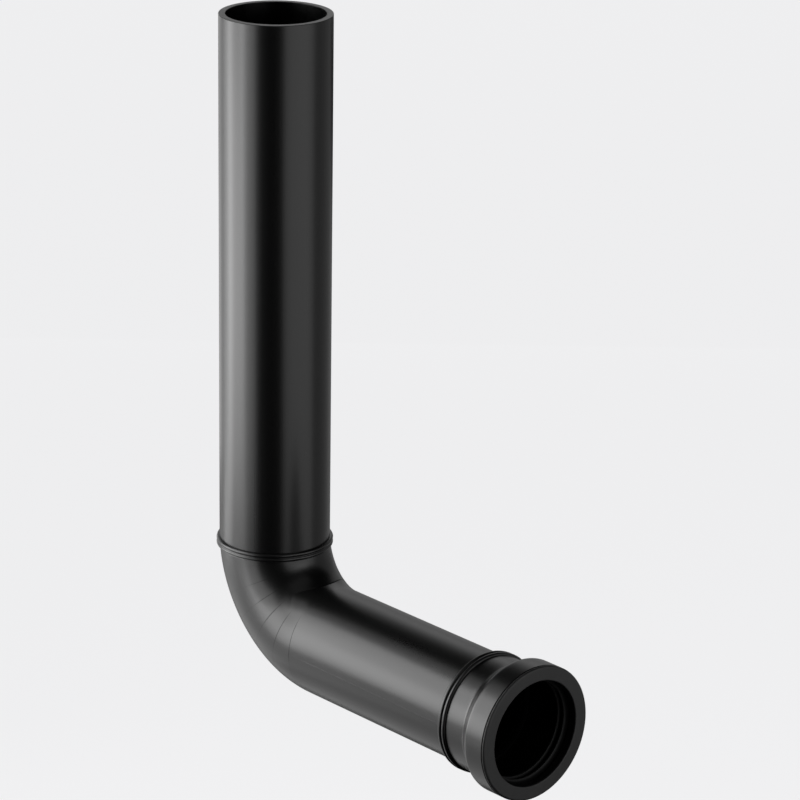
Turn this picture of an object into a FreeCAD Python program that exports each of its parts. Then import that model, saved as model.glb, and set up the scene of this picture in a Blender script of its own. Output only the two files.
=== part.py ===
"""Long-leg 90 degree polyethylene connection bend with a ring-seal socket, in millimetres.

An extruded upright pipe is butt-welded to a moulded bend with a long leg, and a
moulded socket is butt-welded to the end of that leg. A rubber lip seal lies in the
socket's chamber, held in by a snap-in retaining ring.

Frame: the axes of the two legs cross at the origin, +Z runs up the upright pipe and
+X runs out along the leg, through the socket's mouth.
"""

import FreeCAD, Part
import math
import os

from FreeCAD import Vector

# Pipe, the same for both legs: standard 50 x 3.0 mm polyethylene.
PIPE_R = 25.0
PIPE_WALL = 3.0
PIPE_BORE_R = PIPE_R - PIPE_WALL
UPRIGHT_TOP_Z = 280.5
CUT_EDGE_CHAMFER = 0.3

# Moulded bend: a quarter turn, trimmed a little inside the turn at its upper end.
BEND_R = 41.0

# Butt welds: each is a double roll of melt outside the wall and another inside it.
UPPER_WELD_Z = 37.8
UPPER_ROLL_HALF_WIDTH = 0.95
UPPER_ROLL_HEIGHT = 1.45
LOWER_WELD_X = 142.2
LOWER_ROLL_HALF_WIDTH = 1.1
LOWER_ROLL_HEIGHT = 2.25
INNER_ROLL_HEIGHT = 1.2
ROLLS_IN_A_WELD = 2

# Ring-seal socket: a short stub, a shoulder and the seal chamber.
STUB_R = 26.0
STUB_BORE_R = 23.0
SHOULDER_X = 155.6
SHOULDER_LENGTH = 5.3
CHAMBER_R = 30.15
CHAMBER_BORE_R = 27.4
CHAMBER_BACK_X = 161.0
SOCKET_RIM_X = 171.0
CHAMBER_BACK_FILLET = 0.6

# Retaining ring: a flange over the rim and a sleeve that snaps into the chamber.
RING_GAP = 0.2
FACE_X = 172.5
RING_EDGE_R = 0.95
MOUTH_R = 23.7
MOUTH_EDGE_R = 0.45
SLEEVE_BACK_X = 168.6
SNAP_X = 169.9
SNAP_HALF_WIDTH = 0.6
SNAP_HEIGHT = 0.35
SNAP_CLEARANCE = 0.1

# Lip seal: a base against the chamber wall and two lips leaning into the socket.
SEAL_BASE_R = 25.2
LIP_TIP_R = 22.3
LIP_THICKNESS = 1.1
LIP_REACH = 1.9
LIP_ROOT_X = (168.2, 164.6)
LIP_ROOT_WIDTH = 1.5

SEAM = 1e-3
ORIGIN = Vector(0, 0, 0)
UP = Vector(0, 0, 1)
ALONG_LEG = Vector(1, 0, 0)


class Profile:
    """A closed half section in (distance along the axis, radius), drawn edge by edge."""

    def __init__(self, along, radius):
        self.start = (along, radius)
        self.pen = self.start
        self.edges = []

    @staticmethod
    def point(place):
        """The place in the plane of the section, before the profile is turned."""
        along, radius = place
        return Vector(radius, 0, along)

    def line(self, along, radius):
        """Straight to the given place."""
        place = (along, radius)
        self.edges.append(Part.LineSegment(self.point(self.pen), self.point(place)).toShape())
        self.pen = place
        return self

    def arc(self, middle, end):
        """An arc through the middle place to the end place."""
        curve = Part.Arc(self.point(self.pen), self.point(middle), self.point(end))
        self.edges.append(curve.toShape())
        self.pen = end
        return self

    def corner(self, centre, radius, from_deg, to_deg):
        """A round corner about the centre; angles turn from the axis towards the rim."""
        middle = on_circle(centre, radius, (from_deg + to_deg) / 2)
        return self.arc(middle, on_circle(centre, radius, to_deg))

    def revolve(self, axis):
        """The closed profile turned once round the Z axis and laid along the axis asked for."""
        self.line(*self.start)
        face = Part.Face(Part.Wire(self.edges))
        solid = face.revolve(ORIGIN, UP, 360)
        if axis == ALONG_LEG:
            solid.rotate(ORIGIN, Vector(0, 1, 0), 90)
        return solid


def on_circle(centre, radius, degrees):
    """The place on a circle in (along, radius), at an angle from the axis direction."""
    turn = math.radians(degrees)
    return (centre[0] + radius * math.cos(turn), centre[1] + radius * math.sin(turn))


def upright_pipe():
    """Extruded pipe from the upper weld to its square-cut open end."""
    bottom = UPPER_WELD_Z + ROLLS_IN_A_WELD * UPPER_ROLL_HALF_WIDTH
    chamfer = CUT_EDGE_CHAMFER
    section = Profile(bottom, PIPE_BORE_R)
    section.line(bottom, PIPE_R)
    section.line(UPRIGHT_TOP_Z - chamfer, PIPE_R)
    section.line(UPRIGHT_TOP_Z, PIPE_R - chamfer)
    section.line(UPRIGHT_TOP_Z, PIPE_BORE_R + chamfer)
    section.line(UPRIGHT_TOP_Z - chamfer, PIPE_BORE_R)
    return section.revolve(UP)


def elbow_rod(radius):
    """A solid rod along the centreline of the bend and its leg."""
    leg_end = LOWER_WELD_X - ROLLS_IN_A_WELD * LOWER_ROLL_HALF_WIDTH
    disc = Part.Face(Part.Wire(Part.Circle(Vector(0, 0, BEND_R), UP, radius).toShape()))
    turn_axis = Vector(0, -1, 0)
    bend = disc.revolve(Vector(BEND_R, 0, BEND_R), turn_axis, 90)
    leg = Part.makeCylinder(radius, leg_end - BEND_R, Vector(BEND_R, 0, 0), ALONG_LEG)
    return bend.fuse(leg).removeSplitter()


def elbow():
    """Moulded bend and long leg, trimmed square to the upright just inside the turn."""
    weld_bottom = UPPER_WELD_Z - ROLLS_IN_A_WELD * UPPER_ROLL_HALF_WIDTH
    tube = elbow_rod(PIPE_R).cut(elbow_rod(PIPE_BORE_R))
    trim_size = 4 * PIPE_R
    trim = Part.makeBox(
        trim_size, trim_size, BEND_R, Vector(-trim_size / 2, -trim_size / 2, weld_bottom)
    )
    return tube.cut(trim).Solids[0]


def weld_ring(middle, half_width, outer_r, roll_height, axis):
    """One fused ring through the wall: two round rolls outside and two inside."""
    first = middle - ROLLS_IN_A_WELD * half_width
    section = Profile(first, PIPE_R - PIPE_WALL / 2)
    section.line(first, outer_r)
    add_rolls(section, outer_r, roll_height, half_width)
    section.line(section.pen[0], PIPE_BORE_R)
    add_rolls(section, PIPE_BORE_R, -INNER_ROLL_HEIGHT, -half_width)
    return section.revolve(axis)


def add_rolls(section, base_r, height, half_width):
    """Two neighbouring rolls: a steep flank, then a half circle each, then a flank back."""
    rise = abs(height) - abs(half_width)
    flank_r = base_r + math.copysign(rise, height)
    crest_r = base_r + height
    section.line(section.pen[0], flank_r)
    for _ in range(ROLLS_IN_A_WELD):
        start = section.pen[0]
        section.arc((start + half_width, crest_r), (start + 2 * half_width, flank_r))
    section.line(section.pen[0], base_r)


def upper_weld_bead():
    """Weld between the upright pipe and the bend."""
    return weld_ring(UPPER_WELD_Z, UPPER_ROLL_HALF_WIDTH, PIPE_R, UPPER_ROLL_HEIGHT, UP)


def lower_weld_bead():
    """Weld between the long leg and the socket's stub."""
    return weld_ring(LOWER_WELD_X, LOWER_ROLL_HALF_WIDTH, PIPE_R, LOWER_ROLL_HEIGHT, ALONG_LEG)


def seal_socket():
    """Stub, S-shaped shoulder and seal chamber, open at the rim, with a snap groove."""
    stub_x = LOWER_WELD_X + ROLLS_IN_A_WELD * LOWER_ROLL_HALF_WIDTH
    rise = CHAMBER_R - STUB_R
    shoulder_deg = 2 * math.degrees(math.atan2(rise, SHOULDER_LENGTH))
    shoulder_r = SHOULDER_LENGTH / 2 / math.sin(math.radians(shoulder_deg))
    shoulder_end_x = SHOULDER_X + SHOULDER_LENGTH
    groove_r = CHAMBER_BORE_R + SNAP_HEIGHT + SNAP_CLEARANCE
    groove_half = SNAP_HALF_WIDTH + SNAP_CLEARANCE
    fillet = CHAMBER_BACK_FILLET
    chamfer = CUT_EDGE_CHAMFER
    section = Profile(stub_x, STUB_BORE_R)
    section.line(stub_x, STUB_R)
    section.line(SHOULDER_X, STUB_R)
    section.corner((SHOULDER_X, STUB_R + shoulder_r), shoulder_r, -90, -90 + shoulder_deg)
    section.corner((shoulder_end_x, CHAMBER_R - shoulder_r), shoulder_r, 90 + shoulder_deg, 90)
    section.line(SOCKET_RIM_X - chamfer, CHAMBER_R)
    section.line(SOCKET_RIM_X, CHAMBER_R - chamfer)
    section.line(SOCKET_RIM_X, CHAMBER_BORE_R)
    section.line(SNAP_X + groove_half, CHAMBER_BORE_R)
    section.arc((SNAP_X, groove_r), (SNAP_X - groove_half, CHAMBER_BORE_R))
    section.line(CHAMBER_BACK_X + fillet, CHAMBER_BORE_R)
    section.corner((CHAMBER_BACK_X + fillet, CHAMBER_BORE_R - fillet), fillet, 90, 180)
    section.line(CHAMBER_BACK_X, STUB_BORE_R)
    return section.revolve(ALONG_LEG)


def retaining_ring():
    """Flange over the socket's rim, with a sleeve that snaps into the chamber."""
    flange_x = SOCKET_RIM_X + RING_GAP
    sleeve_r = CHAMBER_BORE_R - SNAP_CLEARANCE
    edge = RING_EDGE_R
    mouth = MOUTH_EDGE_R
    section = Profile(SLEEVE_BACK_X, MOUTH_R)
    section.line(SLEEVE_BACK_X, sleeve_r)
    section.line(SNAP_X - SNAP_HALF_WIDTH, sleeve_r)
    section.arc((SNAP_X, sleeve_r + SNAP_HEIGHT), (SNAP_X + SNAP_HALF_WIDTH, sleeve_r))
    section.line(flange_x, sleeve_r)
    section.line(flange_x, CHAMBER_R)
    section.line(FACE_X - edge, CHAMBER_R)
    section.corner((FACE_X - edge, CHAMBER_R - edge), edge, 90, 0)
    section.line(FACE_X, MOUTH_R + mouth)
    section.corner((FACE_X - mouth, MOUTH_R + mouth), mouth, 0, -90)
    return section.revolve(ALONG_LEG)


def lip_seal():
    """Rubber ring filling the chamber behind the sleeve, with lips that lean inwards."""
    back_x = CHAMBER_BACK_X + SNAP_CLEARANCE
    front_x = SLEEVE_BACK_X - SEAM
    outer_r = CHAMBER_BORE_R - SNAP_CLEARANCE
    corner = CHAMBER_BACK_FILLET
    section = Profile(back_x, SEAL_BASE_R)
    section.line(back_x, outer_r - corner)
    section.line(back_x + corner, outer_r)
    section.line(front_x, outer_r)
    section.line(front_x, SEAL_BASE_R)
    for root_x in LIP_ROOT_X:
        add_lip(section, root_x)
    return section.revolve(ALONG_LEG)


def add_lip(section, root_x):
    """A lip that leans back from its root to a rounded tip."""
    tip_r = LIP_THICKNESS / 2
    tip_x = root_x - LIP_REACH
    tip_centre_r = LIP_TIP_R + tip_r
    section.line(root_x, SEAL_BASE_R)
    section.line(tip_x + tip_r, tip_centre_r)
    section.arc((tip_x, LIP_TIP_R), (tip_x - tip_r, tip_centre_r))
    section.line(root_x - LIP_ROOT_WIDTH - tip_r, SEAL_BASE_R)


SUB_PARTS = {
    "upright_pipe": upright_pipe,
    "upper_weld_bead": upper_weld_bead,
    "moulded_elbow": elbow,
    "lower_weld_bead": lower_weld_bead,
    "seal_socket": seal_socket,
    "lip_seal": lip_seal,
    "retaining_ring": retaining_ring,
}

os.makedirs("parts", exist_ok=True)
for name, make in SUB_PARTS.items():
    shape = make()
    print(name, shape.ShapeType, shape.isValid(), round(shape.Volume, 1))
    shape.exportStep(f"parts/{name}.step")
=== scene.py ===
"""Black polyethylene connection bend with a ring-seal socket, dressed for a studio picture.

The bend has seven pieces: an extruded upright pipe, a moulded elbow with a long leg, a
ring-seal socket, its rubber seal and front ring, and the two rings of weld melt between
them. Each is one closed surface, worked out as whole arrays on a grid of two parameters.
Lengths are in metres unless a name says millimetres or degrees.
"""
import logging
import math
from dataclasses import dataclass, field
from enum import Enum
from typing import Any, Callable

import bpy
import numpy as np
from mathutils import Matrix, Vector
from numpy.typing import NDArray


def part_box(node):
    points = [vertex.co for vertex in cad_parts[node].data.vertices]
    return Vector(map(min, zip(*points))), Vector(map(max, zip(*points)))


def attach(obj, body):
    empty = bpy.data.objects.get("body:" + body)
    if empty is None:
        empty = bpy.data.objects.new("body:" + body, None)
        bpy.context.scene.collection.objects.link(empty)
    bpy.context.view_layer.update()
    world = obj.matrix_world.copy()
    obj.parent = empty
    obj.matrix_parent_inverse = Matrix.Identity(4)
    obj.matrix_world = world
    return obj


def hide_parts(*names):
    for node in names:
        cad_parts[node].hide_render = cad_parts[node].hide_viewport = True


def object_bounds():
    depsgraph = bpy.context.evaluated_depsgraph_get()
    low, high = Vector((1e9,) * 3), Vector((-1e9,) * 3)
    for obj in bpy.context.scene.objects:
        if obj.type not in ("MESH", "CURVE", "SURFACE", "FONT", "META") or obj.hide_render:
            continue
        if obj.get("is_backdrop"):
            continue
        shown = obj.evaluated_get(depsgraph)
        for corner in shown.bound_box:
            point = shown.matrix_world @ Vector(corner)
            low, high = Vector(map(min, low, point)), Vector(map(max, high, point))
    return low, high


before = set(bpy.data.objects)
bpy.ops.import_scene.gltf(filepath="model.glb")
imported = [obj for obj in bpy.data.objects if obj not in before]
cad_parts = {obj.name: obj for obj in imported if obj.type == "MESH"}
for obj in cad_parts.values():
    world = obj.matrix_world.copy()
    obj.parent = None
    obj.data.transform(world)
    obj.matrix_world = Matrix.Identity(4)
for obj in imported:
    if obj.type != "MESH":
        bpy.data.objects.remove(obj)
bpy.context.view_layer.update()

Array = NDArray[np.float64]
Colour = tuple[float, float, float]

MM = 0.001
FULL_TURN = 2 * math.pi
QUARTER_TURN = math.pi / 2
BORE_SKIN = 0.8 * MM
BORE_FADE = 0.3 * MM

logger = logging.getLogger("connection_bend")


# ---------------------------------------------------------------- sections


def arc(centre: tuple[float, float], radius: float, start: float, end: float, steps: int = 9) -> Array:
    """Points along a circle: the centre plus the radius times cosine and sine of the angle.

    Args:
        centre: Middle of the circle, as (along, radius).
        radius: Radius of the circle.
        start: First angle in degrees, from the axis towards the rim.
        end: Last angle in degrees.
        steps: Number of points.

    Returns:
        An array of (along, radius) rows.
    """
    angle = np.radians(np.linspace(start, end, steps))
    return np.stack([centre[0] + radius * np.cos(angle), centre[1] + radius * np.sin(angle)], axis=1)


def rounded(corners: list[tuple[float, float, float]], steps: int = 7, hold: float = 0.06 * MM) -> Array:
    """A closed polygon with round corners.

    Each corner is an exact circular arc, written as a rational quadratic curve: its two
    tangent points have weight 1 and the corner has the sine of half its own angle. A
    point close to each end of the arc keeps the flats flat under smooth shading.

    Args:
        corners: (along, radius, fillet) for each corner, in order.
        steps: Points in each arc.
        hold: Distance of the extra points from the ends of each arc.

    Returns:
        An array of (along, radius) rows, without the closing point.
    """
    table = np.array(corners, dtype=float)
    place, fillet = table[:, :2], table[:, 2:]
    before = np.roll(place, 1, axis=0) - place
    after = np.roll(place, -1, axis=0) - place
    long_before = np.linalg.norm(before, axis=1, keepdims=True)
    long_after = np.linalg.norm(after, axis=1, keepdims=True)
    before, after = before / long_before, after / long_after
    corner = np.arccos(np.clip((before * after).sum(axis=1, keepdims=True), -1, 1))
    reach = fillet / np.tan(corner / 2)
    first, last = place + before * reach, place + after * reach
    weight = np.sin(corner / 2)[:, None]
    t = np.linspace(0, 1, steps)[None, :, None]
    bottom = (1 - t) ** 2 + 2 * t * (1 - t) * weight + t**2
    top = (1 - t) ** 2 * first[:, None] + 2 * t * (1 - t) * weight * place[:, None] + t**2 * last[:, None]
    lead = first + before * np.minimum(hold, long_before / 5)
    trail = last + after * np.minimum(hold, long_after / 5)
    return np.concatenate([lead[:, None], top / bottom, trail[:, None]], axis=1).reshape(-1, 2)


def filled(loop: Array, spacing: float) -> Array:
    """The closed loop with long straights cut into equal steps.

    Each side is repeated as many times as it needs pieces, and each copy starts its own
    share of the way along the side.

    Args:
        loop: Closed (along, radius) rows.
        spacing: Longest step allowed.

    Returns:
        The same outline with more points.
    """
    side = np.roll(loop, -1, axis=0) - loop
    pieces = np.maximum(1, np.ceil(np.linalg.norm(side, axis=1) / spacing)).astype(int)
    owner = np.repeat(np.arange(len(loop)), pieces)
    step = np.arange(len(owner)) - np.repeat(np.cumsum(pieces) - pieces, pieces)
    return loop[owner] + side[owner] * (step / pieces[owner])[:, None]


# ---------------------------------------------------------------- surfaces


class Axis(Enum):
    """The direction that a turned piece lies along."""

    UPRIGHT = "z"
    LEG = "x"


Swell = Callable[[Array, Array, Array], tuple[Array, Array]]
# Gives each point's share of painted shade from along and radius.
ShadePaint = Callable[[Array, Array], Array]


@dataclass(frozen=True)
class Sheet:
    """A surface that closes both ways: rows go round its section, columns round its axis.

    Attributes:
        points: Places, of shape (rows, columns, 3).
        lay: The same places on the piece laid straight: two across and one along its axis.
        painted_shade: Share of painted shade at each place, put in cracks, gaps and bores.
    """

    points: Array
    lay: Array
    painted_shade: Array

    def volume(self) -> float:
        """Adds up the triple products of the two triangles of each face.

        Returns:
            Signed volume: a sixth of the sum, positive when the normals point outwards.
        """
        a = self.points
        b = np.roll(a, -1, axis=0)
        c = np.roll(b, -1, axis=1)
        d = np.roll(a, -1, axis=1)
        halves = np.cross(b, c) * a + np.cross(c, d) * a
        return float(halves.sum() / 6)

    def make(self, name: str) -> bpy.types.Object:
        """Puts the sheet into a mesh object at the origin.

        Args:
            name: Name of the piece.

        Returns:
            The new object, linked to the scene, with point attributes lay and painted_shade, the share of
            painted shade.
        """
        rows, columns = self.points.shape[:2]
        index = np.arange(rows * columns).reshape(rows, columns)
        quads = np.stack(
            [
                index,
                np.roll(index, -1, axis=0),
                np.roll(np.roll(index, -1, axis=0), -1, axis=1),
                np.roll(index, -1, axis=1),
            ],
            axis=-1,
        ).reshape(-1, 4)
        if self.volume() < 0:
            quads = quads[:, ::-1]
        mesh = bpy.data.meshes.new(name)
        mesh.vertices.add(rows * columns)
        mesh.vertices.foreach_set("co", self.points.astype(np.float32).ravel())
        mesh.loops.add(quads.size)
        mesh.loops.foreach_set("vertex_index", quads.astype(np.int32).ravel())
        mesh.polygons.add(len(quads))
        mesh.polygons.foreach_set("loop_start", np.arange(0, quads.size, 4, dtype=np.int32))
        mesh.polygons.foreach_set("use_smooth", np.ones(len(quads), dtype=bool))
        lay = mesh.attributes.new("lay", "FLOAT_VECTOR", "POINT")
        lay.data.foreach_set("vector", self.lay.astype(np.float32).ravel())
        # Painted shade: each point's share of dark diffuse, put in cracks, gaps and bores where shade
        # falls.
        painted_shade = mesh.attributes.new("painted_shade", "FLOAT", "POINT")
        painted_shade.data.foreach_set("value", np.clip(self.painted_shade, 0, 1).astype(np.float32).ravel())
        mesh.update(calc_edges=True)
        mesh.validate()
        piece = bpy.data.objects.new(name, mesh)
        bpy.context.scene.collection.objects.link(piece)
        return piece


def turned(
    section: Array, axis: Axis, columns: int, paint_shade: ShadePaint, swell: Swell | None = None
) -> Sheet:
    """A section carried round its axis: radius times cosine and sine of the turn.

    Args:
        section: Closed (along, radius) rows.
        axis: Direction of the axis.
        columns: Steps round the axis.
        paint_shade: Gives the share of painted shade from along and radius.
        swell: Gives changes of (along, radius) from along, radius and turn.

    Returns:
        The surface.
    """
    turn = np.linspace(0, FULL_TURN, columns, endpoint=False)[None, :]
    along = np.repeat(section[:, :1], columns, axis=1)
    radius = np.repeat(section[:, 1:], columns, axis=1)
    painted_shade = paint_shade(along, radius)
    if swell is not None:
        shift, growth = swell(along, radius, turn)
        along, radius = along + shift, radius + growth
    across = radius * np.cos(turn)
    over = radius * np.sin(turn)
    lay = np.stack([across, over, along], axis=-1)
    points = lay if axis is Axis.UPRIGHT else np.stack([along, across, over], axis=-1)
    return Sheet(points, lay, painted_shade)


def ripple(turn: Array, waves: tuple[tuple[int, float, float], ...]) -> Array:
    """A smooth closed unevenness: a sum of sines of whole numbers of waves round a turn.

    Args:
        turn: Angles round the axis, in radians.
        waves: (waves in a turn, height, phase) of each sine.

    Returns:
        The unevenness at each angle.
    """
    count, height, phase = (np.array(column)[:, None, None] for column in zip(*waves))
    return (height * np.sin(count * turn[None] + phase)).sum(axis=0)


def inside(radius: Array, bore: float) -> Array:
    """One in the bore and most of its skin, fading to zero where the skin ends."""
    return np.clip((bore + BORE_SKIN - radius) / BORE_FADE, 0, 1)


def bump(value: Array, middle: float | Array, width: float) -> Array:
    """A bell curve: one at the middle, falling off by the square of the distance."""
    return np.exp(-(((value - middle) / width) ** 2))


# ---------------------------------------------------------------- materials


class Wire:
    """A shader socket that takes part in sums, so that a formula adds its own Math nodes."""

    def __init__(self, bench: "Bench", socket: bpy.types.NodeSocket) -> None:
        """Keeps the socket and the bench that its nodes stand on."""
        self.bench = bench
        self.socket = socket

    def __add__(self, other: "Wire | float") -> "Wire":
        """This value plus the other."""
        return self.bench.maths("ADD", self, other)

    def __sub__(self, other: "Wire | float") -> "Wire":
        """This value less the other."""
        return self.bench.maths("SUBTRACT", self, other)

    def __rsub__(self, other: float) -> "Wire":
        """The other less this value."""
        return self.bench.maths("SUBTRACT", other, self)

    def __mul__(self, other: "Wire | float") -> "Wire":
        """This value times the other."""
        return self.bench.maths("MULTIPLY", self, other)

    __radd__ = __add__
    __rmul__ = __mul__


class Bench:
    """A node tree being built."""

    def __init__(self, tree: bpy.types.NodeTree) -> None:
        """Takes over the tree and clears it."""
        self.tree = tree
        tree.nodes.clear()

    def node(
        self, kind: str, settings: dict[str, Any] | None = None, sockets: dict[Any, Any] | None = None
    ) -> bpy.types.Node:
        """Adds one node.

        Args:
            kind: Blender's type of node, without its ShaderNode prefix.
            settings: Values set on the node itself; "stops" fills a colour ramp.
            sockets: A value or a Wire for each input, by name or number.

        Returns:
            The new node.
        """
        made = self.tree.nodes.new("ShaderNode" + kind)
        for key, value in (settings or {}).items():
            if key == "stops":
                self.fill_ramp(made.color_ramp, value)
            else:
                setattr(made, key, value)
        for key, value in (sockets or {}).items():
            if isinstance(value, Wire):
                self.tree.links.new(value.socket, made.inputs[key])
            else:
                made.inputs[key].default_value = value
        return made

    @staticmethod
    def fill_ramp(ramp: bpy.types.ColorRamp, stops: list[tuple[float, float]]) -> None:
        """Sets a ramp's stops, with smooth steps between them.

        Args:
            ramp: The ramp to fill.
            stops: Place and grey level of each stop, in order.
        """
        ramp.interpolation = "EASE"
        while len(ramp.elements) < len(stops):
            ramp.elements.new(1.0)
        for element, (place, grey) in zip(ramp.elements, stops):
            element.position = place
            element.color = (grey, grey, grey, 1.0)

    def out(self, made: bpy.types.Node, output: int | str = 0) -> Wire:
        """One of a node's outputs, ready for sums."""
        return Wire(self, made.outputs[output])

    def maths(self, operation: str, a: Wire | float, b: Wire | float = 0.0) -> Wire:
        """One Math node on one or two values."""
        return self.out(self.node("Math", {"operation": operation}, {0: a, 1: b}))

    def lay(self, scale: tuple[float, float, float]) -> Wire:
        """The straightened place on the piece, scaled on each axis.

        Args:
            scale: Cells per metre, twice across and then along the piece.

        Returns:
            A link to the scaled place.
        """
        place = self.node("Attribute", {"attribute_name": "lay"})
        spread = self.node("Mapping", {}, {"Vector": self.out(place, "Vector"), "Scale": scale})
        return self.out(spread)

    def noise(self, scale: tuple[float, float, float], detail: float = 3.0, rough: float = 0.5) -> Wire:
        """Soft noise from 0 to 1 on the straightened place.

        Args:
            scale: Cells per metre, twice across and then along the piece.
            detail: Number of finer layers.
            rough: Strength of each finer layer against the one before.

        Returns:
            A link to the noise.
        """
        sockets = {"Vector": self.lay(scale), "Scale": 1.0, "Detail": detail, "Roughness": rough}
        return self.out(self.node("TexNoise", {}, sockets))

    def ramp(self, value: Wire, stops: list[tuple[float, float]]) -> Wire:
        """The value led through a curve of grey stops."""
        return self.out(self.node("ValToRGB", {"stops": stops}, {0: value}))

    def along(self) -> Wire:
        """Reads the last part of the straightened place.

        Returns:
            A link to the distance along the piece's own axis, in metres.
        """
        place = self.node("Attribute", {"attribute_name": "lay"})
        parts = self.node("SeparateXYZ", {}, {0: self.out(place, "Vector")})
        return self.out(parts, "Z")

    def above(self, value: Wire, level: float, width: float) -> Wire:
        """A mask with a smooth step.

        Args:
            value: The value to test.
            level: Middle of the step.
            width: Width of the step.

        Returns:
            A link to the mask, which rises from 0 to 1.
        """
        settings = {"interpolation_type": "SMOOTHSTEP"}
        sockets = {"Value": value, "From Min": level - width / 2, "From Max": level + width / 2}
        return self.out(self.node("MapRange", settings, sockets))

    def blend(self, share: Wire, low: Colour, high: Colour) -> Wire:
        """A colour between two.

        Args:
            share: Share of the second colour.
            low: First colour.
            high: Second colour.

        Returns:
            A link to the colour.
        """
        settings = {"data_type": "RGBA"}
        sockets = {0: share, 6: (*low, 1.0), 7: (*high, 1.0)}
        return self.out(self.node("Mix", settings, sockets), 2)


@dataclass(frozen=True)
class Look:
    """What varies over a finish: its colour, roughness and height, each a link."""

    colour: Wire
    roughness: Wire
    height: Wire


@dataclass(frozen=True)
class Finish:
    """A plastic or rubber finish. Each kind adds its own surface method.

    Attributes:
        name: Name of the material.
        dark: The material's own darkest colour, and the colour of its painted shade in cracks, gaps and
            bores.
        light: Colour where the surface is rubbed or cut.
        roughness: Middle roughness.
        relief: Height of the fine relief.
        ior: Refractive index.
    """

    name: str
    dark: Colour
    light: Colour
    roughness: float
    relief: float
    ior: float = 1.51

    def surface(self, bench: Bench) -> Look:
        """The varying part of the finish, which every kind defines."""
        raise NotImplementedError

    def make(self) -> bpy.types.Material:
        """Builds the material.

        Returns:
            A shiny material mixed towards a dark diffuse one, which is painted shade in cracks, gaps and
            bores.
        """
        material = bpy.data.materials.new(self.name)
        material.use_nodes = True
        bench = Bench(material.node_tree)
        look = self.surface(bench)
        relief = bench.node("Bump", {}, {"Strength": 1.0, "Distance": self.relief, "Height": look.height})
        sockets = {
            "Base Color": look.colour,
            "Roughness": look.roughness,
            "Normal": bench.out(relief),
            "IOR": self.ior,
        }
        shader = bench.node("BsdfPrincipled", {}, sockets)
        # Painted shade: a dark diffuse shader mixed in by each point's share, darkening cracks, gaps and
        # bores.
        painted_shade_shader = bench.node("BsdfDiffuse", {}, {"Color": (*self.dark, 1.0)})
        painted_shade = bench.node("Attribute", {"attribute_name": "painted_shade"})
        sockets = {0: bench.out(painted_shade, "Fac"), 1: bench.out(shader), 2: bench.out(painted_shade_shader)}
        mixed = bench.node("MixShader", {}, sockets)
        bench.node("OutputMaterial", {}, {"Surface": bench.out(mixed)})
        return material


@dataclass(frozen=True)
class ExtrudedPipe(Finish):
    """Satin pipe from a die: fine drawn lines along its axis and a duller sawn end.

    Attributes:
        cut_at: Distance along the pipe of its sawn end.
        cut_depth: How far the end's duller look reaches back.
        cut_blur: Width over which it fades.
    """

    cut_at: float = 0.0
    cut_depth: float = 0.28 * MM
    cut_blur: float = 0.1 * MM

    def surface(self, bench: Bench) -> Look:
        """Drawn lines, faint long streaks, soft waviness and the sawn end face.

        Args:
            bench: The material's bench.

        Returns:
            The varying part of the finish.
        """
        lines = bench.noise((2300, 2300, 7), 2.0)
        streaks = bench.noise((210, 210, 2.5), 2.0)
        waves = bench.noise((85, 85, 30), 1.0)
        scuffs = bench.ramp(bench.noise((60, 900, 420), 4.0, 0.62), [(0.62, 0.0), (0.74, 1.0)])
        saw = bench.noise((140, 5200, 60), 2.0)
        cut = bench.above(bench.along(), self.cut_at - self.cut_depth, self.cut_blur)
        skin = 1 - cut
        roughness = self.roughness + streaks * 0.05 + lines * 0.05 + scuffs * 0.03 + cut * 0.05 - 0.05
        height = (lines * 0.5 + streaks * 0.35 + waves * 0.9) * skin + saw * cut * 1.4
        colour = bench.blend(scuffs * 0.15 * skin + cut * (0.55 + saw * 0.45), self.dark, self.light)
        return Look(colour, roughness, height)


@dataclass(frozen=True)
class MouldedPlastic(Finish):
    """Satin moulded plastic: a fine eroded grain over slow flow marks."""

    def surface(self, bench: Bench) -> Look:
        """Fine grain, flow marks drawn out along the piece and a few rubbed places.

        Args:
            bench: The material's bench.

        Returns:
            The varying part of the finish.
        """
        grain = bench.noise((2600, 2600, 2600), 2.0)
        flow = bench.noise((70, 70, 16), 2.0)
        waves = bench.noise((110, 110, 60), 1.0)
        rubs = bench.ramp(bench.noise((240, 240, 130), 4.0, 0.6), [(0.6, 0.0), (0.76, 1.0)])
        roughness = self.roughness + flow * 0.07 + grain * 0.04 + rubs * 0.03 - 0.055
        height = grain * 0.35 + waves * 0.75 + flow * 0.25
        colour = bench.blend(rubs * 0.2 + flow * 0.12, self.dark, self.light)
        return Look(colour, roughness, height)


@dataclass(frozen=True)
class WeldMelt(Finish):
    """Melt that set again in a roll: smoother than the pipe, with slow ripples."""

    def surface(self, bench: Bench) -> Look:
        """Ripples across the roll and finer pulled marks.

        Args:
            bench: The material's bench.

        Returns:
            The varying part of the finish.
        """
        ripples = bench.noise((520, 520, 240), 2.0)
        pulls = bench.noise((1500, 1500, 2600), 2.0)
        roughness = self.roughness + ripples * 0.1 + pulls * 0.05 - 0.07
        height = ripples + pulls * 0.3
        colour = bench.blend(pulls * 0.25, self.dark, self.light)
        return Look(colour, roughness, height)


@dataclass(frozen=True)
class SealRubber(Finish):
    """Matt moulded rubber with a trace of bloom."""

    def surface(self, bench: Bench) -> Look:
        """Fine grain and patches of bloom.

        Args:
            bench: The material's bench.

        Returns:
            The varying part of the finish.
        """
        grain = bench.noise((3400, 3400, 3400), 2.0)
        bloom = bench.noise((160, 160, 160), 3.0)
        roughness = self.roughness + bloom * 0.08 + grain * 0.05 - 0.06
        height = grain
        colour = bench.blend(bloom * 0.6, self.dark, self.light)
        return Look(colour, roughness, height)


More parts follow.
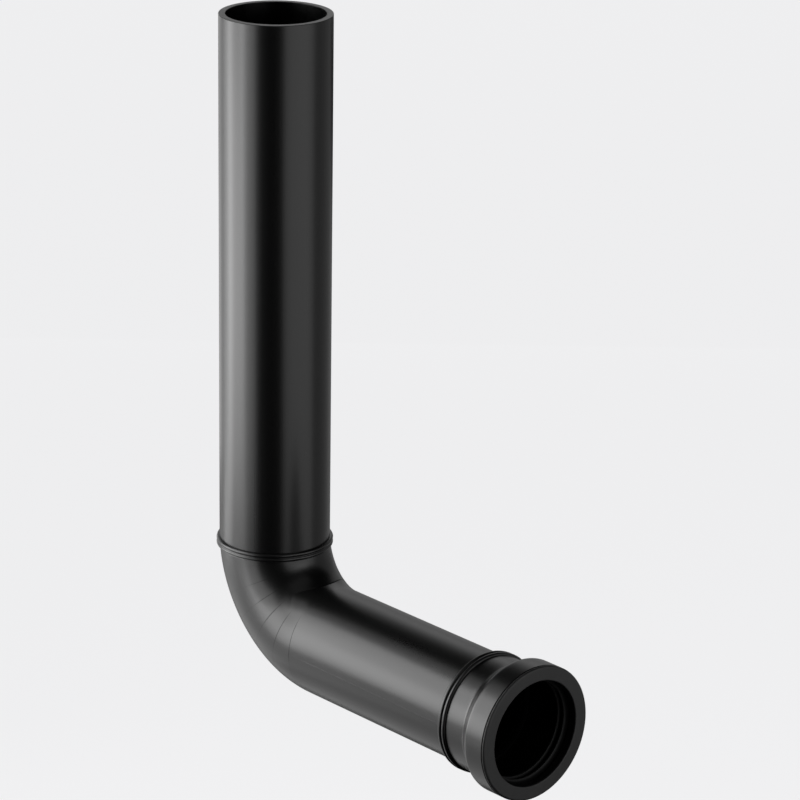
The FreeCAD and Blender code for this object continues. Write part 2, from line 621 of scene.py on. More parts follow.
@dataclass(frozen=True)
class RingPlastic(Finish):
    """The front ring: matt moulded plastic with faint turned marks from its tool.

    Attributes:
        pitch: Distance between two turned marks.
    """

    pitch: float = 0.32 * MM

    def surface(self, bench: Bench) -> Look:
        """Rings about the axis from the tool, under a fine grain and soft clouds.

        Args:
            bench: The material's bench.

        Returns:
            The varying part of the finish.
        """
        place = bench.node("Attribute", {"attribute_name": "lay"})
        parts = bench.node("SeparateXYZ", {}, {0: bench.out(place, "Vector")})
        across, over = bench.out(parts, "X"), bench.out(parts, "Y")
        radius = bench.maths("SQRT", across * across + over * over)
        turned_marks = bench.maths("SINE", radius * (FULL_TURN / self.pitch))
        grain = bench.noise((2400, 2400, 2400), 2.0)
        cloud = bench.noise((130, 130, 130), 3.0)
        roughness = self.roughness + cloud * 0.08 + grain * 0.05 - 0.065
        height = grain * 0.6 + turned_marks * 0.08
        colour = bench.blend(cloud * 0.5, self.dark, self.light)
        return Look(colour, roughness, height)


# ---------------------------------------------------------------- pieces


@dataclass(frozen=True)
class Extent:
    """The corners of a CAD node's box."""

    low: Vector
    high: Vector

    @classmethod
    def of(cls, node: str) -> "Extent":
        """The extent of the node with this name."""
        low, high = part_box(node)
        return cls(low, high)


def dress(piece: bpy.types.Object, node: str, finish: Finish) -> None:
    """Gives a piece its finish, and puts it in the place of the CAD node.

    Args:
        piece: The new piece.
        node: The CAD node that it stands for.
        finish: The finish to make.
    """
    piece.data.materials.append(finish.make())
    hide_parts(node)
    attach(piece, "root")
    faces = len(piece.data.polygons)
    logger.info("%s stands for %s: %d faces, finish %s", piece.name, node, faces, finish.name)


@dataclass
class UprightPipe:
    """The extruded pipe from the upper weld to its sawn end.

    Attributes:
        wall: Thickness of the wall.
        edge: Radius left on the sawn edges.
        weld_edge: Radius of the edges that the weld hides.
        bore_painted_shade: Share of painted shade put in the bore.
        lit_depth: Depth of bore below the sawn end left without painted shade.
        shrink: How much slimmer than its nominal size the drawn wall stands.
        columns: Steps round the pipe.
        bottom: Height of the end at the weld.
        top: Height of the sawn end.
        radius: Outer radius.
    """

    wall: float = 3.0 * MM
    edge: float = 0.25 * MM
    weld_edge: float = 0.02 * MM
    bore_painted_shade: float = 0.25
    lit_depth: float = 0.5 * MM
    shrink: float = 0.01 * MM
    columns: int = 288
    bottom: float = field(init=False)
    top: float = field(init=False)
    radius: float = field(init=False)

    def __post_init__(self) -> None:
        """Reads the pipe's ends and radius from its CAD node."""
        extent = Extent.of("upright_pipe")
        self.bottom, self.top = extent.low.z, extent.high.z
        self.radius = extent.high.x

    def sheet(self) -> Sheet:
        """The tube: a rectangle of wall with softened corners, turned once.

        Returns:
            The pipe's surface.
        """
        bore = self.radius - self.wall
        corners = [
            (self.bottom, bore, self.weld_edge),
            (self.bottom, self.radius, self.weld_edge),
            (self.top, self.radius, self.edge),
            (self.top, bore, self.edge),
        ]
        section = filled(rounded(corners), 6 * MM)
        return turned(section, Axis.UPRIGHT, self.columns, self.shade_painting, self.draw)

    def shade_painting(self, along: Array, radius: Array) -> Array:
        """No painted shade but in the bore, which gets a quarter share below its lit rim."""
        bore = self.radius - self.wall
        # Painted shade: a quarter share of dark diffuse in the bore.
        return self.bore_painted_shade * inside(radius, bore) * (along < self.top - self.lit_depth)

    def draw(self, along: Array, radius: Array, turn: Array) -> tuple[Array, Array]:
        """The die's unevenness: the wall breathes by hundredths of a millimetre.

        Args:
            along: Distance along the axis.
            radius: Distance from the axis; not used.
            turn: Angle round the axis.

        Returns:
            Changes of the distance along the axis and of the radius.
        """
        waves = ((2, 0.006 * MM, 0.4), (5, 0.003 * MM, 1.9), (11, 0.0012 * MM, 0.7))
        return np.zeros_like(along), ripple(turn, waves) - self.shrink

    def build(self) -> None:
        """Makes and dresses the pipe."""
        finish = ExtrudedPipe(
            name="extruded_black_pipe",
            dark=(0.0013, 0.0013, 0.0014),
            light=(0.018, 0.018, 0.019),
            roughness=0.29,
            relief=0.012 * MM,
            cut_at=self.top,
        )
        dress(self.sheet().make("extruded_pipe"), "upright_pipe", finish)


@dataclass
class MouldedElbow:
    """The moulded bend with its long leg.

    A point on it is the centreline's place plus the tube's radius times cosine of the
    turn towards the heel and sine of the turn to the side. The centreline is a quarter
    circle and then a straight leg. The upper end is trimmed level inside the quarter.

    Attributes:
        bend: Radius of the centreline.
        wall: Thickness of the wall.
        fan: Angle of the bend up to which the rows spread from the level end, in degrees.
        segment: Angle between the ring lines left by the mould's segments, in degrees.
        ring_lines: Number of ring lines.
        groove: Depth of a ring line.
        groove_width: Half width of a ring line.
        slimming: How much slimmer the tube is halfway round the bend.
        ridge: Height of the parting line.
        ridge_width: Half width of the parting line.
        crease: Depth of the crease across the throat.
        crease_at: Angle of the bend where the crease crosses the throat, in degrees.
        crease_reach: How far the dip beside the crease reaches, in degrees.
        crease_lean: How far the crease climbs towards the sides, in degrees.
        crease_curl: How fast it starts to climb, per square degree from the throat.
        crease_side: Degrees from the throat at which the rows are straight again.
        slit: Depth of the fine groove at the bottom of the crease.
        line_painted_shade: Share of painted shade in a ring line.
        crease_painted_shade: Share of painted shade in the crease.
        bore_painted_shade: Share of painted shade over the bore.
        radius: Outer radius of the tube.
        trim: Height of the level end.
        leg: Length of the straight leg.
    """

    bend: float = 41.0 * MM
    wall: float = 3.0 * MM
    fan: float = 24.0
    segment: float = 14.7
    ring_lines: int = 6
    groove: float = 0.025 * MM
    groove_width: float = 0.16 * MM
    slimming: float = 0.28 * MM
    ridge: float = 0.05 * MM
    ridge_width: float = 0.22 * MM
    crease: float = 0.5 * MM
    crease_at: float = 70.0
    crease_reach: float = 8.0
    crease_lean: float = 12.0
    crease_curl: float = 0.014
    crease_side: float = 50.0
    slit: float = 0.1 * MM
    line_painted_shade: float = 0.8
    crease_painted_shade: float = 0.9
    bore_painted_shade: float = 0.7
    radius: float = field(init=False)
    trim: float = field(init=False)
    leg: float = field(init=False)

    def __post_init__(self) -> None:
        """Reads the tube's radius and ends from its CAD node."""
        extent = Extent.of("moulded_elbow")
        self.radius = -extent.low.z
        self.trim = extent.high.z
        self.leg = extent.high.x - self.bend

    def outer_rows(self) -> Array:
        """Rows down the outside, close together at each ring line and at the crease.

        The first ring line lies among the rows that fan out from the level end, so that
        whole stretch of them is close together.

        Returns:
            Degrees of the bend for rows inside it, and 90 plus metres for rows on the leg.
        """
        lines = self.segment * np.arange(2, self.ring_lines + 1)
        beside = math.degrees(3 * self.groove_width / self.bend) * np.linspace(-1, 1, 13)
        away = np.concatenate([[0.0], np.geomspace(0.12, 14.0, 18)])
        bend_rows = np.concatenate(
            [
                np.linspace(0, self.fan, 18),
                np.linspace(5.0, 13.0, 60),
                np.linspace(self.fan, 90, 46),
                (lines[:, None] + beside).ravel(),
                self.crease_at - away,
                self.crease_at + away,
            ]
        )
        return np.concatenate([np.unique(bend_rows.round(4)), 90 + self.leg_rows(34)])

    def leg_rows(self, count: int) -> Array:
        """Metres along the leg for its rows, without the one where the bend ends."""
        even = np.linspace(0, self.leg, count)[1:]
        return np.concatenate([even[:-1], [self.leg - 0.05 * MM, self.leg]])

    def columns(self) -> Array:
        """Turns round the tube, close together at the two parting lines.

        Returns:
            Angles from the heel, in radians.
        """
        even = np.linspace(0, FULL_TURN, 184, endpoint=False)
        near = np.linspace(-1, 1, 11) * 3 * self.ridge_width / self.radius
        sides = np.array([[QUARTER_TURN], [3 * QUARTER_TURN]]) + near[None, :]
        return np.unique(np.concatenate([even, sides.ravel()]).round(6))

    def angle(self, row: Array, turn: Array, radius: Array) -> Array:
        """Angle of the bend at a point, in degrees.

        The first rows fan out from the level end: the end lies where the sine of the
        angle, times the distance from the bend's centre, reaches the level of the trim.
        Near the throat the rows lean with the crease, which climbs by the hyperbolic
        tangent of the square of the angle from the throat. The lean is let in over four
        degrees past the fan.

        Args:
            row: Row numbers from outer_rows.
            turn: Angle round the tube, from the heel.
            radius: Distance from the centreline.

        Returns:
            Degrees from the bend's upper end, 90 on the leg.
        """
        nominal = np.minimum(row, 90.0)
        end = np.degrees(np.arcsin((self.bend - self.trim) / (self.bend + radius * np.cos(turn))))
        fanned = end + (self.fan - end) * nominal / self.fan
        from_throat = np.degrees(turn - math.pi)
        climb = self.crease_lean * np.tanh(self.crease_curl * from_throat**2 / self.crease_lean)
        window = np.clip((self.crease_side - np.abs(from_throat)) / 16, 0, 1)
        window = window * window * (3 - 2 * window)
        leaned = nominal - climb * window * bump(nominal, self.crease_at, 14.0)
        settled = np.clip((nominal - self.fan) / 4, 0, 1)
        return np.where(nominal < self.fan, fanned, nominal + (leaned - nominal) * settled)

    def line_fade(self, angle: Array, turn: Array) -> Array:
        """How strong the ring lines are, in their grooves and in their painted shade.

        They are clear on the sides only. They end about a third of the way round from the
        throat. Towards the heel they fade to a trace, later on the lines near the leg, and
        the trace ends a third of the way round from the heel. The lines near the level end
        are fainter.

        Args:
            angle: Degrees from the bend's upper end.
            turn: Angle round the tube, from the heel.

        Returns:
            One where the line is at its clearest, and zero where it is gone.
        """
        from_heel = 180 - np.abs(np.degrees(turn - math.pi))
        heel_end, throat_end, trace = 50, 134, 0.12
        faded = 94 - 0.4 * np.clip(angle - 44, 0, 45)
        to_heel = np.clip((from_heel - faded) / 18, trace, 1) * np.clip((from_heel - heel_end) / 16, 0, 1)
        to_throat = np.clip((throat_end - from_heel) / 12, 0, 1)
        below_end = np.clip((angle - 8) / 42, 0, 1)
        return to_heel * to_throat * below_end

    def marks(self, row: Array, turn: Array) -> Array:
        """Height of the mould's marks over the plain tube.

        The ring lines are narrow bell-shaped grooves at every segment's end, faded out in
        places. The parting lines are low bells along both sides of the leg, and rise within
        a few millimetres of its start. The crease is a cusp, an exponential of the angle
        from its row, with a fine groove at its bottom. The tube is slimmest halfway round.

        Args:
            row: Row numbers from outer_rows.
            turn: Angle round the tube, from the heel.

        Returns:
            Change of radius at each point.
        """
        angle = self.angle(row, turn, self.radius)
        nearest = self.segment * np.clip(np.round(angle / self.segment), 1, self.ring_lines)
        off_line = np.radians(angle - nearest) * self.bend
        grooves = -self.groove * self.line_fade(angle, turn) * bump(off_line, 0.0, self.groove_width)
        off_side = (np.abs(turn - math.pi) - QUARTER_TURN) * self.radius
        on_leg = 1 / (1 + np.exp(-(row - 90 - 6 * MM) / (2 * MM)))
        ridge = self.ridge * on_leg * bump(off_side, 0.0, self.ridge_width)
        from_throat = np.degrees(turn - math.pi)
        off_crease = np.abs(np.minimum(row, 90) - self.crease_at)
        dip = self.crease * np.exp(-off_crease / self.crease_reach) * bump(from_throat, 0.0, 30.0)
        slit = self.slit * bump(off_crease, 0.0, 0.5) * bump(from_throat, 8.0, 24.0)
        slim = self.slimming * np.sin(np.radians(2 * angle)) ** 2
        return grooves + ridge - dip - slit - slim

    def shade_painting(self, row: Array, turn: Array) -> Array:
        """Painted shade in the ring lines and the crease, which darkens them like fine cracks.

        Args:
            row: Row numbers from outer_rows.
            turn: Angle round the tube, from the heel.

        Returns:
            Share of painted shade at each point, in bells a little wider than the marks.
        """
        angle = self.angle(row, turn, self.radius)
        nearest = self.segment * np.clip(np.round(angle / self.segment), 1, self.ring_lines)
        off_line = np.radians(angle - nearest) * self.bend
        # Painted shade along the ring lines, and in the crease where shade falls.
        lines = self.line_painted_shade * self.line_fade(angle, turn) * bump(off_line, 0.0, 1.2 * self.groove_width)
        from_throat = np.degrees(turn - math.pi)
        off_crease = np.minimum(row, 90) - self.crease_at
        crack = self.crease_painted_shade * bump(off_crease, 0.0, 1.1) * bump(from_throat, 12.0, 24.0)
        return np.maximum(lines, crack)

    def place(self, row: Array, turn: Array, radius: Array) -> tuple[Array, Array]:
        """Where a point of the tube lies.

        Args:
            row: Row numbers from outer_rows.
            turn: Angle round the tube, from the heel.
            radius: Distance from the centreline.

        Returns:
            Places in the frame, and the places on the tube laid straight.
        """
        degrees = self.angle(row, turn, radius)
        angle = np.radians(degrees)
        further = np.maximum(row - 90, 0)
        arm = self.bend + radius * np.cos(turn)
        over = radius * np.sin(turn)
        forward = self.bend - arm * np.cos(angle) + further
        upward = self.bend - arm * np.sin(angle)
        points = np.stack([forward, -over, upward], axis=-1)
        lay = np.stack([radius * np.cos(turn), over, self.bend * angle + further], axis=-1)
        return points, lay

    def sheet(self) -> Sheet:
        """The outer skin from the weld to the socket, then the bore all the way back.

        Returns:
            The elbow's surface.
        """
        back_rows = np.concatenate([np.linspace(0, 90, 50), 90 + self.leg_rows(12)])[::-1]
        turn, down = np.meshgrid(self.columns(), self.outer_rows())
        _, back = np.meshgrid(self.columns(), back_rows)
        row = np.concatenate([down, back])
        bore = np.full_like(back, self.radius - self.wall)
        radius = np.concatenate([self.radius + self.marks(down, turn), bore])
        # Painted shade: lines and crease outside, and an even share over the whole bore.
        painted_shade = np.concatenate([self.shade_painting(down, turn), np.full_like(back, self.bore_painted_shade)])
        points, lay = self.place(row, self.columns()[None, :], radius)
        return Sheet(points, lay, painted_shade)

    def build(self) -> None:
        """Makes and dresses the elbow."""
        finish = MouldedPlastic(
            name="moulded_black_plastic",
            dark=(0.0014, 0.0014, 0.0014),
            light=(0.005, 0.0049, 0.0049),
            roughness=0.29,
            relief=0.012 * MM,
        )
        dress(self.sheet().make("bend_with_long_leg"), "moulded_elbow", finish)


@dataclass
class WeldRolls:
    """A ring of weld melt: two rolls side by side outside the wall, and two inside.

    Attributes:
        node: CAD node that the ring stands for.
        axis: Direction of the pipe.
        outer: Radius that the outer rolls stand on.
        bore: Radius that the inner rolls stand on.
        inner_height: Height of the inner rolls.
        unevenness: How much the rolls vary round the pipe.
        meet: Angle up each outer roll at which it meets its neighbour, in degrees.
        columns: Steps round the pipe.
        first: Where the ring starts along the pipe.
        last: Where it ends.
        crest: Radius of the outer rolls' crests.
    """

    node: str
    axis: Axis
    meet: float = 0.0
    outer: float = 25.0 * MM
    bore: float = 22.0 * MM
    inner_height: float = 1.2 * MM
    unevenness: float = 0.07 * MM
    columns: int = 360
    first: float = field(init=False)
    last: float = field(init=False)
    crest: float = field(init=False)

    def __post_init__(self) -> None:
        """Reads the ring's width and height from its CAD node."""
        extent = Extent.of(self.node)
        self.crest = extent.high.y
        self.first = getattr(extent.low, self.axis.value)
        self.last = getattr(extent.high, self.axis.value)

    def sheet(self) -> Sheet:
        """Four half circles on steep flanks, two outside and two inside, turned once.

        Returns:
            The surface of the ring of melt.
        """
        half = (self.last - self.first) / 4
        steps = 17
        outer_base = self.crest - half
        inner_base = self.bore - self.inner_height + half
        near, far = self.first + half, self.last - half
        middle = (self.bore + self.outer) / 2
        wall = np.array([[self.first, middle]])
        far_wall = np.array([[self.last, middle]])
        section = np.concatenate(
            [
                wall,
                arc((near, outer_base), half, 180, self.meet, steps)[:-1],
                arc((far, outer_base), half, 180 - self.meet, 0, steps),
                far_wall,
                arc((far, inner_base), half, 0, -180, steps),
                arc((near, inner_base), half, 0, -180, steps)[1:],
            ]
        )
        return turned(section, self.axis, self.columns, self.shade_painting, self.melt)

    def shade_painting(self, along: Array, radius: Array) -> Array:
        """The inside rolls get full painted shade."""
        return inside(radius, self.bore)

    def melt(self, along: Array, radius: Array, turn: Array) -> tuple[Array, Array]:
        """The rolls' unevenness, which grows from nothing at the wall to full at the crest.

        Each roll has its own ripples in height. Both sway together along the pipe, by a
        parabola that holds the ring's two ends still.

        Args:
            along: Distance along the axis.
            radius: Distance from the axis.
            turn: Angle round the axis.

        Returns:
            Changes of the distance along the axis and of the radius.
        """
        middle = (self.first + self.last) / 2
        wall = (self.bore + self.outer) / 2
        flank, climb = 1.6 * MM, 1.4 * MM
        proud = np.clip((np.abs(radius - wall) - flank) / climb, 0, 1)
        second = np.where(along > middle, 1.0, 0.0)
        waves = ((3, 0.45, 0.3), (7, 0.3, 2.1), (16, 0.16, 4.0), (41, 0.06, 1.0))
        height = ripple(turn, waves) * (1 - second) + ripple(turn + 1.7, waves) * second - 1.0
        outwards = np.sign(radius - wall)
        sway = ripple(turn + 0.6, ((4, 0.5, 0.0), (9, 0.3, 1.2))) * 0.5
        hold = np.clip((along - self.first) * (self.last - along) / (self.last - self.first) ** 2 * 4, 0, 1)
        return self.unevenness * proud * sway * hold, self.unevenness * proud * height * outwards

    def build(self, name: str, finish: Finish) -> None:
        """Makes and dresses the ring."""
        dress(self.sheet().make(name), self.node, finish)


@dataclass
class RingSealSocket:
    """The socket, its rubber seal and the front ring that holds the seal in.

    Attributes:
        stub: Radius of the stub behind the shoulder.
        stub_bore: Radius of the stub's bore.
        shoulder: Where the shoulder leaves the stub.
        shoulder_length: Length of the shoulder.
        chamber_bore: Radius of the seal chamber.
        chamber_back: Where the chamber's back wall is.
        mouth: Radius of the front ring's opening.
        flange: Where the front ring's flange starts.
        tip: Radius of the lips' tips.
        root: Radius that the lips spring from.
        clearance: Gap between the chamber wall and what lies in it.
        bore_painted_shade: Share of painted shade in the bores.
        lit_depth: Depth of the ring's opening behind its face left without painted shade.
        gap_painted_shade: Share of painted shade beside the gap behind the flange.
        gap_depth: How far that painted shade reaches from the gap.
        gap_fade: Width over which it fades.
        seal_painted_shade: Share of painted shade over the seal.
        columns: Steps round the pieces.
        start: Where the stub starts.
        rim: Where the socket ends.
        radius: Outer radius of the chamber and the flange.
        sleeve_back: Where the front ring's sleeve starts.
        face: Where the front ring ends.
        seal_back: Where the seal starts.
        seal_front: Where it ends.
    """

    stub: float = 26.0 * MM
    stub_bore: float = 23.0 * MM
    shoulder: float = 154.3 * MM
    shoulder_length: float = 7.4 * MM
    chamber_bore: float = 27.4 * MM
    chamber_back: float = 161.0 * MM
    mouth: float = 23.7 * MM
    flange: float = 171.2 * MM
    tip: float = 22.3 * MM
    root: float = 25.2 * MM
    clearance: float = 0.1 * MM
    bore_painted_shade: float = 0.8
    lit_depth: float = 0.7 * MM
    gap_painted_shade: float = 0.85
    gap_depth: float = 0.3 * MM
    gap_fade: float = 0.2 * MM
    seal_painted_shade: float = 0.93
    columns: int = 288
    start: float = field(init=False)
    rim: float = field(init=False)
    radius: float = field(init=False)
    sleeve_back: float = field(init=False)
    face: float = field(init=False)
    seal_back: float = field(init=False)
    seal_front: float = field(init=False)

    def __post_init__(self) -> None:
        """Reads the ends and the outer radius from the CAD nodes."""
        body, ring, seal = Extent.of("seal_socket"), Extent.of("retaining_ring"), Extent.of("lip_seal")
        self.start, self.rim, self.radius = body.low.x, body.high.x, body.high.y
        self.sleeve_back, self.face = ring.low.x, ring.high.x
        self.seal_back, self.seal_front = seal.low.x, seal.high.x

    def body_sheet(self) -> Sheet:
        """Stub, soft S-shaped shoulder and chamber, with softened rims.

        The shoulder rises from the stub to the chamber by half of one minus the cosine of
        a half turn spread over its length.

        Returns:
            The surface of the socket's moulding.
        """
        fine, steps = 0.25 * MM, 10
        end = self.shoulder + self.shoulder_length
        corners = [
            (self.start, self.stub_bore, 0.1 * MM),
            (self.start, self.stub, 0.1 * MM),
            (self.shoulder, self.stub, 0.0),
            (end, self.radius, 0.0),
            (self.rim, self.radius, 0.35 * MM),
            (self.rim, self.chamber_bore, fine),
            (self.chamber_back, self.chamber_bore, 0.6 * MM),
            (self.chamber_back, self.stub_bore, fine),
        ]
        blocks = rounded(corners, steps).reshape(len(corners), -1, 2)
        share = np.linspace(0, 1, 29)
        rise = (self.radius - self.stub) * (1 - np.cos(math.pi * share)) / 2
        shoulder = np.stack([self.shoulder + share * self.shoulder_length, self.stub + rise], axis=1)
        section = np.concatenate([blocks[:2].reshape(-1, 2), shoulder, blocks[4:].reshape(-1, 2)])
        return turned(filled(section, 2 * MM), Axis.LEG, self.columns, self.body_shade_painting)

    def body_shade_painting(self, along: Array, radius: Array) -> Array:
        """Painted shade in the stub's bore, and beside the gap at the rim."""
        # Painted shade beside the gap where the socket's rim meets the front ring.
        gap = self.gap_painted_shade * np.clip((along - self.rim + self.gap_depth) / self.gap_fade, 0, 1)
        return np.maximum(self.bore_painted_shade * inside(radius, self.stub_bore), gap)

    def ring_sheet(self) -> Sheet:
        """Flange with a round outer edge, and the sleeve that reaches into the chamber.

        Returns:
            The surface of the front ring.
        """
        sleeve = self.chamber_bore - self.clearance
        corners = [
            (self.sleeve_back, self.mouth, 0.2 * MM),
            (self.sleeve_back, sleeve, 0.2 * MM),
            (self.flange, sleeve, 0.1 * MM),
            (self.flange, self.radius, 0.25 * MM),
            (self.face, self.radius, 0.95 * MM),
            (self.face, self.mouth, 0.45 * MM),
        ]
        return turned(filled(rounded(corners, 9), 1 * MM), Axis.LEG, self.columns, self.ring_shade_painting)

    def ring_shade_painting(self, along: Array, radius: Array) -> Array:
        """Painted shade inside the ring's opening, and beside the gap behind its flange.

        Args:
            along: Distance along the axis.
            radius: Distance from the axis.

        Returns:
            Share of painted shade at each point.
        """
        # Painted shade beside the gap behind the flange and inside the opening.
        gap = self.gap_painted_shade * np.clip((self.flange + self.gap_depth - along) / self.gap_fade, 0, 1)
        opening = inside(radius, self.mouth) * (along < self.face - self.lit_depth)
        return np.maximum(self.bore_painted_shade * opening, gap)

    def seal_sheet(self) -> Sheet:
        """Base against the chamber wall, with two lips that lean back to rounded tips.

        Returns:
            The surface of the seal.
        """
        outer = self.chamber_bore - self.clearance
        corners = [
            (self.seal_back, self.root, 0.2 * MM),
            (self.seal_back, outer, 0.5 * MM),
            (self.seal_front, outer, 0.2 * MM),
            (self.seal_front, self.root, 0.1 * MM),
        ]
        for lip_root in (self.seal_front - 0.4 * MM, self.seal_front - 4.0 * MM):
            corners += self.lip(lip_root)
        return turned(filled(rounded(corners, 8), 1 * MM), Axis.LEG, self.columns, self.seal_shade_painting)

    def seal_shade_painting(self, along: Array, radius: Array) -> Array:
        """Painted shade over the whole seal but the tips of its lips, which stay shiny."""
        # Painted shade: the seal's body and lip flanks darkened, the lip tips left out.
        return self.seal_painted_shade * (1 - bump(radius, self.tip, 0.3 * MM))

    def lip(self, lip_root: float) -> list[tuple[float, float, float]]:
        """Corners of one lip.

        Args:
            lip_root: Where the lip springs from the base, at its front.

        Returns:
            (along, radius, fillet) from the front root round the tip to the back root.
        """
        lean, thick = 2.3 * MM, 1.1 * MM
        return [
            (lip_root, self.root, 0.15 * MM),
            (lip_root - lean + 0.5 * thick, self.tip, 0.35 * MM),
            (lip_root - lean - 0.5 * thick, self.tip + 0.1 * MM, 0.35 * MM),
            (lip_root - thick - 0.6 * MM, self.root, 0.3 * MM),
        ]

    def build(self) -> None:
        """Makes and dresses the socket, the seal and the front ring."""
        body = MouldedPlastic(
            name="socket_black_plastic",
            dark=(0.0014, 0.0014, 0.0014),
            light=(0.005, 0.0049, 0.0049),
            roughness=0.29,
            relief=0.012 * MM,
        )
        ring = RingPlastic(
            name="front_ring_matt_plastic",
            dark=(0.006, 0.006, 0.0062),
            light=(0.011, 0.011, 0.0113),
            roughness=0.5,
            relief=0.014 * MM,
        )
        seal = SealRubber(
            name="seal_black_rubber",
            dark=(0.002, 0.002, 0.002),
            light=(0.005, 0.005, 0.0052),
            roughness=0.55,
            relief=0.012 * MM,
        )
        dress(self.body_sheet().make("socket_body"), "seal_socket", body)
        dress(self.seal_sheet().make("seal_with_lips"), "lip_seal", seal)
        dress(self.ring_sheet().make("front_ring"), "retaining_ring", ring)


# ---------------------------------------------------------------- studio


@dataclass(frozen=True)
class Panel:
    """A soft light panel that faces the object and isn't seen itself.

    Attributes:
        name: Name of the light.
        side: Degrees round the object from the camera, positive to the camera's right.
        height: Degrees above the horizon.
        distance: Distance from the middle of the object.
        size: Width and height of the panel.
        radiance: Brightness of the panel's surface.
    """

    name: str
    side: float
    height: float
    distance: float
    size: tuple[float, float]
    radiance: float


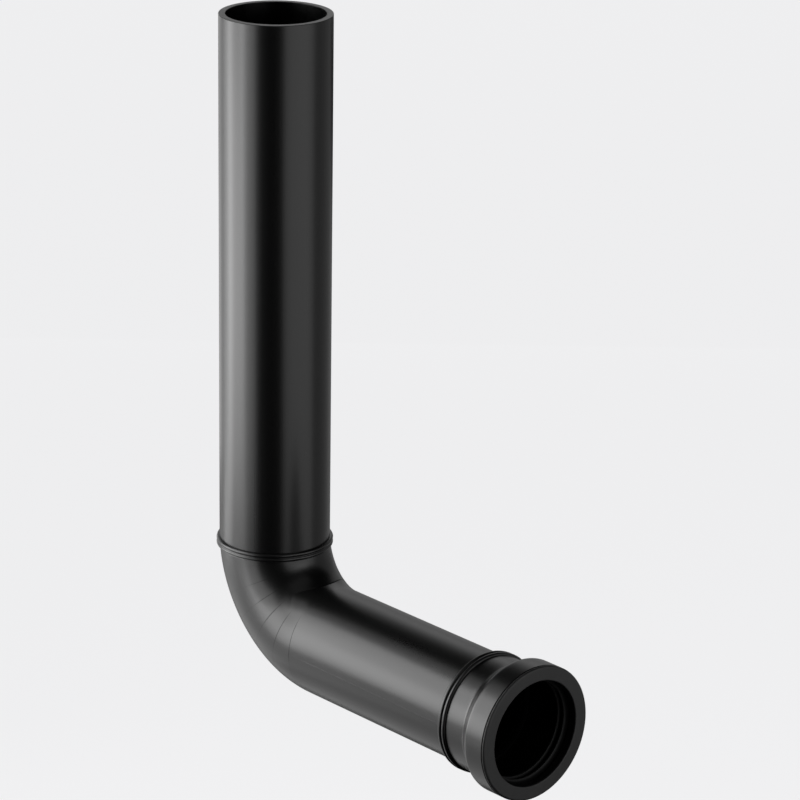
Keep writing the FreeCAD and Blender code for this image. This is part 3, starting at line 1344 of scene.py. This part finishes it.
@dataclass
class Studio:
    """Pale floor and background, soft panels and the camera.

    Attributes:
        azimuth: Camera's degrees round the object, from the front.
        elevation: Camera's degrees above the horizon.
        roll: Camera's degrees of roll.
        distance: From the camera to the plane of the crossing of the pipe axes.
        aside: How far to the right of that crossing the picture's middle lies.
        rise: How far above it the picture's middle lies.
        lens: Focal length on a 36 mm sensor, in millimetres.
        drop: How far below the object the floor lies.
        reach: Half the floor's width.
        middle: The place that the panels face.
    """

    azimuth: float = 48.04
    elevation: float = 18.95
    roll: float = 0.81
    distance: float = 1.6694
    aside: float = 57.26 * MM
    rise: float = 98.16 * MM
    lens: float = 164.52
    drop: float = 0.30
    reach: float = 15.0
    middle: tuple[float, float, float] = (0.06, 0.0, 0.12)

    def direction(self, side: float, height: float) -> Vector:
        """The way from the object to a place round it.

        Args:
            side: Degrees round the object from the camera, positive to its right.
            height: Degrees above the horizon.

        Returns:
            A vector of length one.
        """
        around = math.radians(self.azimuth + side)
        rise = math.radians(height)
        level = math.cos(rise)
        return Vector((math.sin(around) * level, -math.cos(around) * level, math.sin(rise)))

    def camera(self) -> None:
        """Sets up the camera at its angle, with its roll, aimed aside of the axis crossing."""
        back = self.direction(0.0, self.elevation)
        right = (-back).cross(Vector((0, 0, 1))).normalized()
        up = right.cross(-back)
        lean = math.radians(self.roll)
        level, tilt = math.cos(lean), math.sin(lean)
        right, up = right * level + up * tilt, up * level - right * tilt
        place = back * self.distance + right * self.aside + up * self.rise
        data = bpy.data.cameras.new("studio_camera")
        data.lens = self.lens
        data.sensor_width = 36.0
        data.clip_end = 50.0
        camera = bpy.data.objects.new("studio_camera", data)
        turned_axes = Matrix((right, up, back)).transposed().to_4x4()
        camera.matrix_world = Matrix.Translation(place) @ turned_axes
        bpy.context.scene.collection.objects.link(camera)
        bpy.context.scene.camera = camera

    def panel(self, panel: Panel) -> None:
        """Hangs one soft panel, aimed at the middle of the object.

        Args:
            panel: Where the panel hangs, its size and its brightness.
        """
        width, height = panel.size
        data = bpy.data.lights.new(panel.name, "AREA")
        data.shape = "RECTANGLE"
        data.size, data.size_y = width, height
        data.energy = panel.radiance * width * height * math.pi
        light = bpy.data.objects.new(panel.name, data)
        away = self.direction(panel.side, panel.height)
        light.location = Vector(self.middle) + away * panel.distance
        light.rotation_euler = away.to_track_quat("Z", "Y").to_euler()
        light.visible_camera = False
        bpy.context.scene.collection.objects.link(light)

    def floor(self) -> None:
        """A pale level light table below the object, which its glossy skin doesn't mirror."""
        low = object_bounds()[0].z - self.drop
        far = self.reach
        mesh = bpy.data.meshes.new("studio_floor")
        corners = [(-far, -far, low), (far, -far, low), (far, far, low), (-far, far, low)]
        mesh.from_pydata(corners, [], [(0, 1, 2, 3)])
        floor = bpy.data.objects.new("studio_floor", mesh)
        bpy.context.scene.collection.objects.link(floor)
        material = bpy.data.materials.new("studio_light_table")
        material.use_nodes = True
        bench = Bench(material.node_tree)
        sockets = {
            "Base Color": (0.1, 0.1, 0.1, 1.0),
            "Roughness": 1.0,
            "Specular IOR Level": 0.0,
            "Emission Color": (0.84, 0.84, 0.85, 1.0),
            "Emission Strength": 1.0,
        }
        shader = bench.node("BsdfPrincipled", {}, sockets)
        bench.node("OutputMaterial", {}, {"Surface": bench.out(shader)})
        mesh.materials.append(material)
        floor.visible_glossy = False
        floor.visible_diffuse = False
        floor.visible_shadow = False
        floor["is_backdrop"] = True

    def background(self) -> None:
        """A pale background to the camera, and a nearly dark room to everything else."""
        world = bpy.data.worlds.new("studio_room")
        world.use_nodes = True
        bpy.context.scene.world = world
        bench = Bench(world.node_tree)
        seen = bench.out(bench.node("LightPath"), "Is Camera Ray")
        room = bench.node("Background", {}, {"Color": (1.0, 1.0, 1.0, 1.0), "Strength": 0.004})
        pale = bench.node("Background", {}, {"Color": (0.86, 0.86, 0.86, 1.0), "Strength": 1.0})
        mixed = bench.node("MixShader", {}, {0: seen, 1: bench.out(room), 2: bench.out(pale)})
        bench.node("OutputWorld", {}, {"Surface": bench.out(mixed)})

    def build(self) -> None:
        """Sets the whole studio up."""
        bpy.context.scene.view_settings.view_transform = "Standard"
        self.camera()
        self.background()
        self.floor()
        for panel in (
            Panel("key_panel", -90.0, 6.0, 0.45, (0.35, 0.5), 3.9),
            Panel("key_core", -90.0, -5.0, 0.45, (0.3, 0.16), 1.4),
            Panel("key_far_strip", -75.0, -22.5, 1.53, (0.66, 0.16), 3.0),
            Panel("key_low_wing", -108.0, -36.0, 0.47, (0.3, 0.2), 0.5),
            Panel("key_back_wing", -112.0, -6.4, 0.45, (0.2, 0.36), 2.6),
            Panel("key_front_wing", -60.0, -3.0, 0.6, (0.35, 0.5), 2.3),
            Panel("key_top_wing", -90.0, 42.0, 0.6, (0.6, 0.3), 1.05),
            Panel("rim_panel", -142.0, -4.0, 0.7, (0.4, 0.45), 1.0),
            Panel("low_panel", -116.0, -45.0, 1.0, (1.05, 0.8), 0.75),
            Panel("fill_panel", 45.0, -3.0, 0.8, (0.9, 0.7), 0.47),
            Panel("fill_halo", 52.0, -3.0, 1.0, (1.3, 1.1), 0.68),
            Panel("fill_top_wing", 50.0, 20.0, 1.0, (0.6, 0.25), 0.8),
            Panel("top_panel", 20.0, 66.0, 1.0, (0.9, 0.6), 0.2),
            Panel("side_panel", 110.0, -5.0, 1.0, (1.4, 1.1), 0.26),
            Panel("back_panel", 180.0, 12.0, 3.6, (5.0, 3.0), 0.36),
            Panel("back_strip", 180.0, 20.0, 3.6, (1.6, 0.9), 0.45),
            Panel("low_back_panel", 180.0, -28.0, 1.5, (2.0, 0.8), 0.3),
        ):
            self.panel(panel)
        logger.info("studio: camera at %.2f m, light table and panels", self.distance)


# ---------------------------------------------------------------- assembly


def main() -> None:
    """Builds the sub-assemblies in order, then the studio."""
    logging.basicConfig(level=logging.INFO, format="%(name)s: %(message)s")
    melt = WeldMelt(
        name="set_weld_melt",
        dark=(0.0013, 0.0013, 0.0014),
        light=(0.004, 0.004, 0.0041),
        roughness=0.3,
        relief=0.02 * MM,
    )
    UprightPipe().build()
    WeldRolls("upper_weld_bead", Axis.UPRIGHT, meet=28.0).build("upper_weld_rolls", melt)
    MouldedElbow().build()
    WeldRolls("lower_weld_bead", Axis.LEG).build("lower_weld_rolls", melt)
    RingSealSocket().build()
    Studio().build()


if __name__ == "__main__":
    main()
